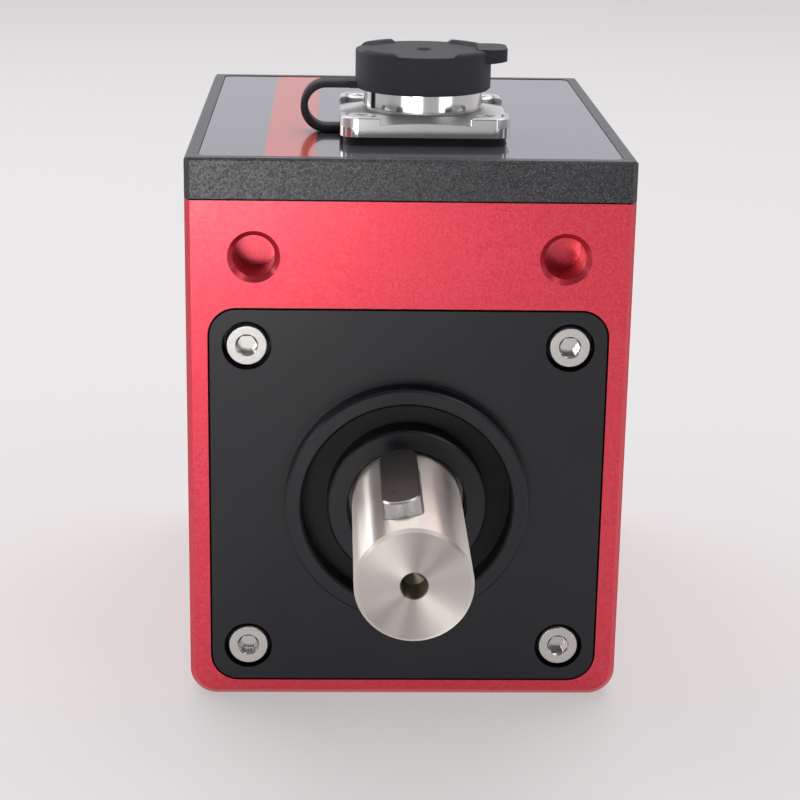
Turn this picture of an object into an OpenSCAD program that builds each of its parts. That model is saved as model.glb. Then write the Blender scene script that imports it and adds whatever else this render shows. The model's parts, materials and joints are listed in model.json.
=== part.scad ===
// Rotary torque sensor: a keyed shaft that turns in a block housing, with a lid and a capped connector.
// The shaft lies along Y, the near end is at -Y, and the base stands on Z = 0.

/* [Housing] */
// Width of the housing across the shaft
body_w = 72; // [70:1:90]
// Length of the housing along the shaft
body_l = 92; // [90:1:120]
// Height of the housing without its lid
body_h = 85.2; // [84:0.2:100]
// Height of the shaft axis above the base
axis_h = 35.2; // [34.6:0.2:38]
// Radius of the two long lower edges
base_edge_r = 4.5; // [3:0.5:8]
// Chamfer round the two end faces
end_chamfer = 0.9; // [0.4:0.1:1.5]
// Diameter of the chamber between the bearings
chamber_d = 38; // [37:0.5:39]
// Thickness of the two side walls of the electronics bay
bay_side_wall = 6; // [5:0.5:8]
// Thickness of the two end walls of the electronics bay
bay_end_wall = 14; // [13:0.5:15]
// Depth of the bay below the housing's top
bay_depth = 19.2; // [18:0.2:20]
// Corner radius of the bay
bay_corner_r = 4; // [2:0.5:6]

/* [Mounting holes] */
// Spacing of the two tapped holes above each end plate
face_hole_pitch = 50; // [44:1:52]
// Depth of those holes below the housing's top
face_hole_drop = 9.1; // [8:0.1:11]
// Tapping diameter of those holes
face_hole_d = 6.8; // [5:0.1:7]
// Depth of those holes
face_hole_depth = 8.3; // [6:0.1:10]
// Chamfer at the mouth of those holes
face_hole_chamfer = 0.85; // [0.3:0.05:1]
// Spacing of the base holes across the shaft
base_hole_pitch_x = 40; // [30:1:42]
// Spacing of the base holes along the shaft
base_hole_pitch_y = 64; // [50:1:66]
// Tapping diameter of the base holes
base_hole_d = 5; // [4:0.1:5.4]
// Depth of the base holes
base_hole_depth = 11; // [8:0.5:12]

/* [Lid and label] */
// Height of the lid
lid_h = 6.8; // [6:0.2:9]
// Chamfer along the lid's upper edges
lid_chamfer = 0.4; // [0.2:0.1:1]
// Chamfer along the lid's lower edges
lid_seam = 0.25; // [0.1:0.05:0.6]
// Width of the lid's border round the label
lid_border = 2.1; // [1.5:0.1:2.4]
// Depth of the label's recess
label_recess = 0.4; // [0.3:0.05:0.8]
// Thickness of the label
label_t = 0.3; // [0.1:0.05:0.3]
// Corner radius of the label's recess
label_corner_r = 1.6; // [0.8:0.1:3]
// Gap round the label
label_gap = 0.1; // [0.05:0.05:0.2]
// Depth of the lid's locating rim in the bay
lid_rim_h = 2; // [1:0.5:3]
// Thickness of the lid's locating rim
lid_rim_t = 2; // [1.5:0.5:3]
// Gap between the locating rim and the bay's walls
lid_rim_gap = 0.2; // [0.1:0.05:0.4]
// Distance of the lid screws from the lid's edges
lid_screw_inset = 6; // [5.6:0.1:6.5]
// Length of the lid screws
lid_screw_l = 10; // [9:0.5:10]
// Width of the lid seal
seal_w = 2; // [1.5:0.1:2.2]
// Height of the lid seal
seal_h = 1.5; // [1:0.1:2]
// Distance of the lid seal from the bay's walls
seal_inset = 1.2; // [1:0.1:1.5]

/* [End plates] */
// Width and height of an end plate
plate_size = 64.4; // [62:0.2:66]
// Thickness of an end plate
plate_t = 8; // [7.5:0.5:9]
// Corner radius of an end plate
plate_corner_r = 4.4; // [4:0.5:6]
// Gap between an end plate and its pocket
plate_gap = 0.3; // [0.1:0.05:0.5]
// Spacing of the plate screws
plate_screw_pitch = 52.4; // [50:0.2:54]
// Outer diameter of the raised ring
ring_d = 40; // [38:0.5:42]
// Height of the raised ring and of the collar
ring_h = 3.6; // [2:0.1:5]
// Outer diameter of the groove inside the raised ring
groove_d = 34.4; // [33:0.2:36]
// Depth of that groove
groove_depth = 4.8; // [3:0.1:6]
// Outer diameter of the collar round the shaft
collar_d = 26.2; // [24:0.2:28]
// Chamfer on the edges of the ring and the collar
ring_chamfer = 0.4; // [0.2:0.1:0.8]
// Gap between the shaft's bearing seat and the collar's bore
collar_gap = 0.25; // [0.15:0.05:0.5]
// Gap between the shaft's end and the lip at the mouth of the collar
lip_gap = 0.65; // [0.4:0.05:0.9]
// Gap between that lip and the end of the bearing seat
lip_seat_gap = 0.5; // [0.3:0.1:1]
// Diameter of the recess for the circlip behind an end plate
clip_recess_d = 30; // [28:0.5:34]
// Depth of that recess
clip_recess_depth = 3; // [2:0.2:3.2]

/* [Plate screws] */
// Thread diameter of the plate screws
plate_screw_d = 4; // [3:0.5:4]
// Length of the plate screws under the head
plate_screw_l = 10; // [8:1:10]
// Head diameter of the plate screws
plate_head_d = 7; // [6:0.1:7.4]
// Head height of the plate screws
plate_head_h = 4; // [3:0.1:4]
// Width across the flats of their socket
plate_socket = 3; // [2.5:0.5:3]
// Depth of their socket
plate_socket_depth = 2; // [1.5:0.1:2.5]
// Gap round the screw head in its counterbore
head_gap = 0.5; // [0.3:0.1:0.8]
// Depth of the screw head below the plate's face
head_sink = 0.25; // [0.1:0.05:0.5]

/* [Shaft] */
// Diameter of the shaft's ends
shaft_d = 18; // [16:0.5:19]
// Length of each shaft end outside the housing
shaft_out = 38; // [34:1:60]
// Chamfer on the shaft's ends
shaft_chamfer = 0.5; // [0.3:0.1:1]
// Depth of the seat's shoulder behind the housing's end face
seat_sink = 2; // [1:0.2:4]
// Diameter of the bearing seats
seat_d = 20; // [19.4:0.2:20.4]
// Diameter of the shoulders between the bearings
shoulder_d = 25; // [24:0.5:26]
// Width of those shoulders
shoulder_w = 3; // [2:0.5:3.5]
// Diameter of the seats of the rotor cores
rotor_seat_d = 22; // [21:0.5:23]
// Diameter of the thin measuring length
gauge_d = 14; // [12:0.5:16]
// Tapping diameter of the centre holes
tap_d = 4.2; // [3.3:0.1:5]
// Depth of the centre holes
tap_depth = 5.8; // [4:0.2:16]
// Width of the keys
key_w = 6; // [5:0.5:6]
// Height of the keys
key_h = 6; // [5:0.5:7]
// Length of the keys
key_l = 25; // [18:1:26]
// Depth of the keyways
key_depth = 3.5; // [3:0.1:4]
// Distance of the keys from the shaft's ends
key_end = 5.1; // [3:0.1:8]
// Gap beside the keys in their keyways
key_gap = 0.1; // [0.02:0.01:0.15]
// Turn of the keys from straight up, to the left seen from the near end
key_angle = 9.5; // [0:0.5:45]

/* [Bearings] */
// Outer diameter of the bearings
bearing_od = 42; // [41:0.5:43]
// Width of the bearings
bearing_w = 12; // [11:0.5:13]
// Diameter of the balls
ball_d = 6.35; // [5.5:0.05:6.5]
// Number of balls in each bearing
ball_count = 9; // [7:1:10]
// Gap between the balls and their grooves
ball_gap = 0.1; // [0.05:0.01:0.15]
// Half of the space between the two races
race_gap = 2.2; // [2:0.1:2.4]
// Width of the cages
cage_w = 8.4; // [8:0.1:9]
// Thickness of the cages
cage_t = 1.8; // [1.2:0.1:2]
// Gap between the balls and the cage
cage_gap = 0.2; // [0.1:0.05:0.25]
// Thickness of the circlips
clip_t = 1.2; // [1:0.1:1.5]
// Depth of the circlips' grooves
clip_depth = 0.7; // [0.5:0.05:0.9]
// Radial width of the circlips
clip_w = 2.3; // [2:0.1:2.8]

/* [Rotary transformers] */
// Width of the cores
core_w = 8; // [7:0.5:8]
// Outer diameter of the rotor cores
rotor_d = 29; // [28:0.2:29.4]
// Air gap between rotor and stator
air_gap = 0.4; // [0.3:0.05:0.6]
// Width of the coils
coil_w = 5; // [4:0.5:5.5]
// Radial depth of the coils in the stator
stator_coil_t = 2.6; // [2:0.1:3]
// Radial depth of the coils in the rotor
rotor_coil_t = 2.3; // [1.5:0.1:2.5]
// Distance of the coils below the mouth of their slots
coil_sink = 0.3; // [0.1:0.1:0.6]
// Spacing of the two leads of each stator
lead_pitch = 2.4; // [2:0.2:3]
// Diameter of the stator leads
lead_d = 1; // [0.6:0.1:1.2]

/* [Speed pickup and rotor board] */
// Number of teeth on the speed ring
tooth_count = 60; // [30:1:72]
// Outer diameter of the speed ring
speed_ring_d = 34; // [32:0.5:35]
// Depth of its teeth
tooth_depth = 1.8; // [1:0.1:2]
// Thickness of the speed ring
speed_ring_t = 2; // [1.5:0.1:2]
// Distance of the speed ring and the rotor board from the cores
rotor_spacing = 0.5; // [0.3:0.1:0.6]
// Gap between the teeth and the pickup
pickup_gap = 0.6; // [0.3:0.1:0.8]
// Diameter of the pickup's body
pickup_d = 6; // [5:0.5:6]
// Diameter of the pickup's nose
pickup_nose_d = 2.6; // [2:0.1:2.6]
// Outer diameter of the rotor board
rotor_board_d = 34.4; // [32:0.2:35]
// Thickness of both boards
board_t = 1.6; // [1:0.1:1.6]
// Number of strain gauges
gauge_count = 4; // [2:1:6]
// Distance of the strain gauges from the shaft's fillets
gauge_patch_gap = 2; // [1:0.2:5]
// Angle that a strain gauge covers
gauge_patch_angle = 44; // [30:1:50]
// Thickness of the strain gauges
gauge_patch_t = 0.15; // [0.1:0.05:0.3]

/* [Circuit board] */
// Gap between the board and the bay's side walls
board_side_gap = 2; // [1:0.5:3]
// Gap between the board and the bay's end walls
board_end_gap = 3; // [2:0.5:4]
// Height of the spacers under the board
spacer_h = 5; // [4:0.5:6]
// Width across the flats of the spacers
spacer_flats = 5.5; // [5:0.5:6]
// Distance of the board screws from the board's edges
board_screw_inset = 4.5; // [4:0.5:6]
// Thread diameter of the board, lid and connector screws
small_screw_d = 3; // [2.5:0.5:3]
// Length of the board screws under the head
board_screw_l = 10; // [9:0.5:11]
// Height of the wire block on the board
wire_block_h = 3; // [2:0.5:4]

/* [Connector] */
// Place of the connector across the shaft
conn_x = 2.6; // [-8:0.1:8]
// Distance of the connector from the near end face
conn_inset = 26.9; // [26:0.1:34]
// Thickness of the gasket under the flange
gasket_t = 1.6; // [1.4:0.1:2]
// Distance of the gasket's edges from the flange's edges
gasket_inset = 0.6; // [0.4:0.1:1.5]
// Width of the square flange
flange_w = 28; // [27:0.5:30]
// Thickness of the flange
flange_t = 3.3; // [2.8:0.1:4]
// Corner radius of the flange
flange_corner_r = 3; // [1:0.5:4]
// Chamfer along the flange's upper edges
flange_chamfer = 0.25; // [0.1:0.05:0.5]
// Outer diameter of the turned relief, which slopes away from the barrel
relief_d = 31.6; // [30:0.2:32.4]
// Depth of that relief at its outer edge
relief_depth = 1.25; // [0.8:0.05:1.5]
// Diameter of the flat face round the barrel's foot
foot_d = 21; // [20.6:0.2:23]
// Depth of that face below the flange's corners
foot_depth = 0.35; // [0.2:0.05:0.5]
// Diameter of the barrel
barrel_d = 20; // [19:0.2:20.4]
// Height of the barrel above the flange
barrel_h = 7.9; // [7:0.1:10]
// Height of the turned neck at the barrel's foot
neck_h = 0.5; // [0.4:0.1:1.5]
// Depth of that neck
neck_depth = 0.5; // [0.2:0.1:0.8]
// Diameter of the shell where it passes through the lid
shell_d = 18; // [17.6:0.1:18.4]
// Diameter of the insert inside the shell
insert_d = 15.2; // [14:0.2:15.6]
// Depth of the insert below the barrel's rim
insert_sink = 1; // [0.5:0.1:2]
// Length of the shell below the lid
shell_tail = 1.2; // [0.5:0.1:3]
// Number of contacts
contact_count = 5; // [3:1:7]
// Diameter of the circle of contacts
contact_circle_d = 8.6; // [7:0.2:10]
// Diameter of the contacts
contact_d = 1.8; // [1.2:0.1:2]
// Diameter of the sockets in the contacts
contact_socket_d = 1; // [0.6:0.1:1]
// Length of the contacts below the insert
contact_tail = 2; // [1:0.5:3]
// Diameter of the connector wires
wire_d = 1.4; // [1:0.1:1.6]
// Spacing of the flange screws
flange_screw_pitch = 21; // [20:0.2:21.6]
// Length of the flange screws under the head
flange_screw_l = 7; // [6:0.5:8]
// Head diameter of the flange screws
flange_head_d = 4.6; // [4:0.1:5]
// Depth of their heads below the flange's corners
flange_head_sink = 0.1; // [0.05:0.05:0.3]
// Head diameter of the board screws
pan_head_d = 5; // [4.5:0.1:5.2]
// Head height of the board screws
pan_head_h = 1.9; // [1.5:0.1:2.2]

/* [Cap and strap] */
// Diameter of the cap
cap_d = 22.8; // [22.4:0.2:25]
// Length of the barrel that the cap covers
cap_grip = 4.9; // [3:0.1:6]
// Thickness of the cap's top
cap_top_t = 1.4; // [1.2:0.1:3]
// Gap between the cap and the barrel
cap_gap = 0.15; // [0.1:0.05:0.25]
// Radius of the cap's upper edge
cap_edge_r = 0.8; // [0.4:0.1:1.2]
// Height of the rim on the cap's top
rim_h = 0.6; // [0.4:0.1:1]
// Width of the rim on the cap's top
rim_w = 2.4; // [1.5:0.1:3]
// Width of the four notches in the rim
notch_w = 9; // [6:0.5:10]
// Slope at the ends of the notches
notch_slope = 0.8; // [0.2:0.1:1.2]
// Reach of the pull tab from the cap's axis
tab_reach = 14; // [13.6:0.1:18]
// Width of the pull tab
tab_w = 9; // [6:0.5:10]
// Thickness of the pull tab at its tip
tab_t = 2; // [1.5:0.1:3.5]
// Width of the strap
strap_w = 4.6; // [3:0.1:6]
// Thickness of the strap
strap_t = 1.2; // [0.8:0.05:1.25]
// Reach of the strap's loop from the connector's axis
strap_reach = 20.6; // [19:0.1:24]
// Reach of the cap's strap lug from the cap's axis
lug_reach = 12.4; // [12:0.1:13.5]

/* [Hidden] */
$fn = 72;
// Overlap of cuts with open space
over = 1;
// Gap of pieces that are pressed, screwed or glued in their seats
fit_gap = 0.01;
// Gap of screws and wires in their clearance holes
hole_gap = 0.2;
half_w = body_w / 2;
end_y = body_l / 2;
pocket_y = end_y - plate_t;
bearing_y = pocket_y - bearing_w;
ring_y = end_y + ring_h;
shaft_end_y = end_y + shaft_out;
seat_end_y = end_y - seat_sink;
shoulder_y = bearing_y - shoulder_w;
lid_top = body_h + lid_h;
label_floor = lid_top - label_recess;
bay_floor = body_h - bay_depth;
bay_w = body_w - 2 * bay_side_wall;
bay_l = body_l - 2 * bay_end_wall;
shaft_r = shaft_d / 2;
seat_r = seat_d / 2;
rotor_seat_r = rotor_seat_d / 2;
gauge_r = gauge_d / 2;
gauge_fillet = rotor_seat_r - gauge_r;
collar_bore_r = seat_r + collar_gap;
lip_r = shaft_r + lip_gap;
lip_y = seat_end_y + lip_seat_gap;
head_seat_y = end_y - head_sink - plate_head_h;
ball_r = ball_d / 2;
ball_circle_r = (seat_d + bearing_od) / 4;
ball_y = bearing_y + bearing_w / 2;
rotor_r = rotor_d / 2;
stator_in_r = rotor_r + air_gap;
stator_slot_r = stator_in_r + stator_coil_t;
rotor_slot_r = rotor_r - rotor_coil_t;
core_y = shoulder_y - core_w / 2;
core_inner_y = shoulder_y - core_w;
ring_seat_y = core_inner_y - 2 * rotor_spacing - max(board_t, speed_ring_t);
gauge_half = ring_seat_y - gauge_fillet;
gauge_patch_l = 2 * (gauge_half - gauge_patch_gap);
conn_y = conn_inset - end_y;
speed_ring_y = core_inner_y - rotor_spacing - speed_ring_t / 2;
board_z = bay_floor + spacer_h;
board_top = board_z + board_t;
board_w = bay_w - 2 * board_side_gap;
board_l = bay_l - 2 * board_end_gap;
board_screw_x = board_w / 2 - board_screw_inset;
board_screw_y = board_l / 2 - board_screw_inset;
pickup_tip = axis_h + speed_ring_d / 2 + pickup_gap;
pickup_step = axis_h + chamber_d / 2 + pickup_gap;
lid_screw_x = half_w - lid_screw_inset;
lid_screw_y = end_y - lid_screw_inset;
flange_z = label_floor + gasket_t;
flange_top = flange_z + flange_t;
relief_z = flange_top - relief_depth;
foot_z = flange_top - foot_depth;
flange_head_h = relief_depth - flange_head_sink;
barrel_top = flange_top + barrel_h;
shell_bottom = body_h - shell_tail;
insert_top = barrel_top - insert_sink;
contact_bottom = shell_bottom - contact_tail;
gasket_w = flange_w - 2 * gasket_inset;
cap_bottom = barrel_top - cap_grip;
cap_face = barrel_top + cap_top_t;
cap_r = cap_d / 2;
strap_low = label_floor + label_t + 0.05;
strap_bend_r = (cap_bottom - strap_low) / 2;
strap_bend_x = strap_reach - strap_t - strap_bend_r + strap_t / 2;

red = "#c62a3c";
black = "#2b2b2f";
steel = "#b9b7b2";
bright = "#d4d4d6";
rubber = "#3a3a3d";
copper = "#b4703c";
ferrite = "#4a4a4e";
green = "#1f6b45";
brass = "#c9a85a";

// Flat outline with round corners
module rounded_rect(w, l, r) {
    square([w - 2 * r, l], center = true);
    square([w, l - 2 * r], center = true);
    for (x = [-1, 1], y = [-1, 1])
        translate([x * (w / 2 - r), y * (l / 2 - r)])
            circle(r);
}

// Things drawn along Z, laid on the shaft axis and pointing to the rear
module on_axis(y = 0) {
    translate([0, y, axis_h])
        rotate([-90, 0, 0])
            children();
}

// A thing drawn for the rear end, at the near end
module at_front() {
    mirror([0, 1, 0])
        children();
}

// Things drawn along Z, at the four plate screws of the rear end and pointing to the rear
module at_plate_screws(y) {
    for (x = [-1, 1], z = [-1, 1])
        translate([x * plate_screw_pitch / 2, y, axis_h + z * plate_screw_pitch / 2])
            rotate([-90, 0, 0])
                children();
}

// Things at the four corners of a rectangle
module at_corners(x, y, z) {
    for (i = [-1, 1], j = [-1, 1])
        translate([i * x, j * y, z])
            children();
}

module at_connector(z) {
    translate([conn_x, conn_y, z])
        children();
}

module at_contacts(z) {
    for (i = [0 : contact_count - 1])
        at_connector(z)
            rotate([0, 0, 90 + i * 360 / contact_count])
                translate([contact_circle_d / 2, 0, 0])
                    children();
}

// Ring along Z
module ring(inner_r, outer_r, h) {
    difference() {
        cylinder(r = outer_r, h = h);
        translate([0, 0, -over])
            cylinder(r = inner_r, h = h + 2 * over);
    }
}

// Round hole along Z, up from z = 0 to a drill point
module drilled(d, depth) {
    translate([0, 0, -over])
        cylinder(d = d, h = depth + over);
    translate([0, 0, depth])
        cylinder(r1 = d / 2, r2 = 0, h = d * 0.3);
}

// Cap screw along Z, with its head above z = 0
module cap_screw(d, l, head_d, head_h, socket, socket_depth) {
    edge = head_h * 0.08;
    mouth = socket * 0.12;
    difference() {
        rotate_extrude()
            polygon([
                [0, -l], [d / 2 - edge, -l], [d / 2, edge - l], [d / 2, 0], [head_d / 2, 0],
                [head_d / 2, head_h - edge], [head_d / 2 - edge, head_h], [0, head_h]
            ]);
        translate([0, 0, head_h - socket_depth])
            cylinder(d = socket / cos(30), h = socket_depth + over, $fn = 6);
        translate([0, 0, head_h - mouth])
            cylinder(r1 = socket / 2, r2 = socket / 2 + mouth + over, h = mouth + over);
    }
}

// Pan head screw along Z with a cross recess, its head above z = 0
module pan_screw(d, l, head_d, head_h) {
    difference() {
        rotate_extrude()
            polygon([
                [0, -l], [d / 2, -l], [d / 2, 0], [head_d / 2, 0], [head_d / 2, head_h * 0.45],
                [head_d * 0.46, head_h * 0.7], [head_d * 0.36, head_h * 0.92], [head_d * 0.22, head_h],
                [0, head_h]
            ]);
        for (a = [0, 90])
            rotate([0, 0, a + 45])
                translate([-head_d * 0.3, -head_d * 0.08, head_h * 0.5])
                    cube([head_d * 0.6, head_d * 0.16, head_h]);
    }
}

// Outline of a countersunk lid screw, or of its seat when it is grown
module countersunk(grow) {
    r = small_screw_d / 2;
    edge = 0.15;
    rotate_extrude()
        polygon([
            [0, -lid_screw_l - grow], [r + grow, -lid_screw_l - grow], [r + grow, -r - edge],
            [2 * r + grow, -edge], [2 * r + grow, grow], [0, grow]
        ]);
}

// Cuts that chamfer the sides, the base and the round lower edges at the rear end face
module end_chamfer_cut() {
    c = end_chamfer;
    e = over / 2;
    for (m = [0, 1])
        mirror([m, 0, 0]) {
            translate([0, 0, base_edge_r])
                linear_extrude(body_h)
                    polygon([
                        [half_w - c - e, end_y + e], [half_w + e, end_y - c - e], [half_w + e, end_y + e]
                    ]);
            translate([half_w - base_edge_r, end_y, base_edge_r])
                rotate([-90, 0, 0])
                    rotate_extrude(angle = 90)
                        polygon([[base_edge_r - c - e, e], [base_edge_r + e, -c - e], [base_edge_r + e, e]]);
        }
    translate([base_edge_r - half_w, 0, 0])
        rotate([90, 0, 90])
            linear_extrude(body_w - 2 * base_edge_r)
                polygon([[end_y - c - e, -e], [end_y + e, -e], [end_y + e, c + e]]);
}

module housing_block() {
    translate([0, end_y, 0])
        rotate([90, 0, 0])
            linear_extrude(body_l) {
                translate([-half_w, base_edge_r])
                    square([body_w, body_h - base_edge_r]);
                translate([base_edge_r - half_w, 0])
                    square([body_w - 2 * base_edge_r, base_edge_r + over]);
                for (x = [-1, 1])
                    translate([x * (half_w - base_edge_r), base_edge_r])
                        circle(base_edge_r);
            }
}

// Everything that is cut into the rear end: plate pocket, bearing seat and tapped holes
module housing_end_cut() {
    end_chamfer_cut();
    on_axis(pocket_y)
        linear_extrude(plate_t + over)
            rounded_rect(plate_size + 2 * plate_gap, plate_size + 2 * plate_gap, plate_corner_r + plate_gap);
    on_axis(bearing_y)
        cylinder(d = bearing_od + 2 * fit_gap, h = bearing_w + over);
    at_plate_screws(head_seat_y - plate_screw_l - over)
        cylinder(d = plate_screw_d + 2 * fit_gap, h = plate_screw_l + over);
    for (x = [-1, 1])
        translate([x * face_hole_pitch / 2, end_y, body_h - face_hole_drop])
            rotate([90, 0, 0]) {
                translate([0, 0, -over])
                    cylinder(d = face_hole_d, h = face_hole_depth + over);
                translate([0, 0, -over])
                    cylinder(
                        r1 = face_hole_d / 2 + face_hole_chamfer + over,
                        r2 = face_hole_d / 2,
                        h = face_hole_chamfer + over
                    );
            }
    for (y = [-1, 1])
        translate([0, core_y + y * lead_pitch / 2, axis_h])
            cylinder(d = lead_d + 2 * hole_gap, h = bay_floor - axis_h + over);
}

module seal_ring(grow) {
    w = bay_w + 2 * seal_inset;
    l = bay_l + 2 * seal_inset;
    r = bay_corner_r + seal_inset;
    difference() {
        rounded_rect(w + 2 * seal_w, l + 2 * seal_w, r + seal_w);
        rounded_rect(w - 2 * grow, l - 2 * grow, r - grow);
    }
}

module housing() {
    color(red)
        difference() {
            housing_block();
            housing_end_cut();
            at_front()
                housing_end_cut();
            on_axis(-bearing_y - over)
                cylinder(d = chamber_d, h = 2 * (bearing_y + over));
            translate([0, 0, bay_floor])
                linear_extrude(body_h)
                    rounded_rect(bay_w, bay_l, bay_corner_r);
            translate([0, 0, body_h - seal_h])
                linear_extrude(seal_h + over)
                    seal_ring(0);
            at_corners(lid_screw_x, lid_screw_y, label_floor - lid_screw_l - over)
                cylinder(d = small_screw_d + 2 * fit_gap, h = lid_screw_l);
            at_corners(board_screw_x, board_screw_y, board_top - board_screw_l - over / 2)
                cylinder(d = small_screw_d + 2 * fit_gap, h = board_screw_l);
            translate([0, -speed_ring_y, axis_h])
                cylinder(d = pickup_d + 2 * fit_gap, h = bay_floor - axis_h + over);
            at_corners(base_hole_pitch_x / 2, base_hole_pitch_y / 2, 0)
                drilled(base_hole_d, base_hole_depth);
        }
}

// Lid with chamfered corners and edges, before its recess and holes
module lid_block() {
    c = end_chamfer;
    t = lid_chamfer;
    u = lid_seam;
    intersection() {
        translate([0, 0, body_h])
            linear_extrude(lid_h)
                polygon([
                    [half_w - c, end_y], [half_w, end_y - c], [half_w, c - end_y], [half_w - c, -end_y],
                    [c - half_w, -end_y], [-half_w, c - end_y], [-half_w, end_y - c], [c - half_w, end_y]
                ]);
        translate([0, end_y + over, 0])
            rotate([90, 0, 0])
                linear_extrude(body_l + 2 * over)
                    polygon([
                        [u - half_w, body_h], [half_w - u, body_h], [half_w, body_h + u],
                        [half_w, lid_top - t], [half_w - t, lid_top], [t - half_w, lid_top],
                        [-half_w, lid_top - t], [-half_w, body_h + u]
                    ]);
        translate([-half_w - over, 0, 0])
            rotate([90, 0, 90])
                linear_extrude(body_w + 2 * over)
                    polygon([
                        [u - end_y, body_h], [end_y - u, body_h], [end_y, body_h + u],
                        [end_y, lid_top - t], [end_y - t, lid_top], [t - end_y, lid_top],
                        [-end_y, lid_top - t], [-end_y, body_h + u]
                    ]);
    }
}

module lid_rim() {
    w = bay_w - 2 * lid_rim_gap;
    l = bay_l - 2 * lid_rim_gap;
    r = bay_corner_r - lid_rim_gap;
    translate([0, 0, body_h - lid_rim_h])
        linear_extrude(lid_rim_h + over)
            difference() {
                rounded_rect(w, l, r);
                rounded_rect(w - 2 * lid_rim_t, l - 2 * lid_rim_t, r - lid_rim_t / 2);
            }
}

module lid() {
    color(black)
        difference() {
            union() {
                lid_block();
                lid_rim();
            }
            translate([0, 0, label_floor])
                linear_extrude(lid_h)
                    rounded_rect(body_w - 2 * lid_border, body_l - 2 * lid_border, label_corner_r);
            at_corners(lid_screw_x, lid_screw_y, label_floor)
                countersunk(fit_gap);
            at_connector(body_h - lid_rim_h - over)
                cylinder(d = shell_d + 2 * hole_gap, h = lid_h + lid_rim_h + 2 * over);
            at_connector(relief_z - flange_screw_l - over / 2)
                at_corners(flange_screw_pitch / 2, flange_screw_pitch / 2, 0)
                    cylinder(d = small_screw_d + 2 * fit_gap, h = flange_screw_l);
        }
}

module lid_seal() {
    color(rubber)
        translate([0, 0, body_h - seal_h])
            linear_extrude(seal_h)
                seal_ring(0);
}

module lid_screws() {
    color(steel)
        at_corners(lid_screw_x, lid_screw_y, label_floor)
            difference() {
                countersunk(0);
                translate([0, 0, -small_screw_d * 0.4])
                    cylinder(d = small_screw_d * 0.75, h = small_screw_d, $fn = 6);
            }
}

module label() {
    w = body_w - 2 * lid_border - 2 * label_gap;
    l = body_l - 2 * lid_border - 2 * label_gap;
    cut_w = gasket_w + 2 * hole_gap;
    color("#5a5964")
        translate([0, 0, label_floor])
            linear_extrude(label_t)
                difference() {
                    rounded_rect(w, l, label_corner_r - label_gap);
                    translate([conn_x, conn_y])
                        rounded_rect(cut_w, cut_w, flange_corner_r);
                }
}

// Rear end plate: raised ring, groove and collar outside, circlip recess inside
module end_plate() {
    c = ring_chamfer;
    e = over / 2;
    color(black)
        difference() {
            union() {
                on_axis(pocket_y)
                    linear_extrude(plate_t)
                        rounded_rect(plate_size, plate_size, plate_corner_r);
                on_axis(end_y)
                    rotate_extrude()
                        polygon([
                            [0, -over], [ring_d / 2, -over], [ring_d / 2, ring_h - c],
                            [ring_d / 2 - c, ring_h], [0, ring_h]
                        ]);
            }
            on_axis(ring_y)
                rotate_extrude()
                    polygon([
                        [collar_d / 2, -groove_depth], [groove_d / 2, -groove_depth], [groove_d / 2, -c],
                        [groove_d / 2 + c + e, e], [collar_d / 2 - c - e, e], [collar_d / 2, -c]
                    ]);
            on_axis(pocket_y - over)
                cylinder(r = collar_bore_r, h = lip_y - pocket_y + over);
            on_axis(lip_y - over)
                cylinder(r = lip_r, h = ring_y - lip_y + 2 * over);
            on_axis(ring_y - c / 2)
                cylinder(r1 = lip_r, r2 = lip_r + c / 2 + e, h = c / 2 + e);
            on_axis(pocket_y - over)
                cylinder(d = clip_recess_d, h = clip_recess_depth + over);
            at_plate_screws(pocket_y - over)
                cylinder(d = plate_screw_d + 2 * hole_gap, h = plate_t + over);
            at_plate_screws(head_seat_y)
                cylinder(d = plate_head_d + 2 * head_gap, h = plate_head_h + over);
        }
}

module plate_screws() {
    color(steel)
        at_plate_screws(head_seat_y)
            cap_screw(
                plate_screw_d, plate_screw_l, plate_head_d, plate_head_h, plate_socket, plate_socket_depth
            );
}

module front_end_plate() {
    at_front()
        end_plate();
}

module rear_end_plate() {
    end_plate();
}

module front_plate_screws() {
    at_front()
        plate_screws();
}

module rear_plate_screws() {
    plate_screws();
}

module connector_gasket() {
    color(rubber)
        at_connector(label_floor)
            difference() {
                linear_extrude(gasket_t)
                    rounded_rect(gasket_w, gasket_w, flange_corner_r - gasket_inset);
                translate([0, 0, -over])
                    cylinder(d = shell_d + 2 * hole_gap, h = gasket_t + 2 * over);
                at_corners(flange_screw_pitch / 2, flange_screw_pitch / 2, -over)
                    cylinder(d = small_screw_d + 2 * hole_gap, h = gasket_t + 2 * over);
            }
}

// Square flange with chamfered upper edges, its under face at z = 0
module flange() {
    half = flange_w / 2;
    r = flange_corner_r;
    c = flange_chamfer;
    side = [
        [-half, 0], [half, 0], [half, flange_t - c],
        [half - c, flange_t], [c - half, flange_t], [-half, flange_t - c]
    ];
    for (a = [0, 90])
        rotate([0, 0, a])
            translate([0, half - r, 0])
                rotate([90, 0, 0])
                    linear_extrude(flange_w - 2 * r)
                        polygon(side);
    at_corners(half - r, half - r, 0)
        rotate_extrude()
            polygon([[0, 0], [r, 0], [r, flange_t - c], [r - c, flange_t], [0, flange_t]]);
}

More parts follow.
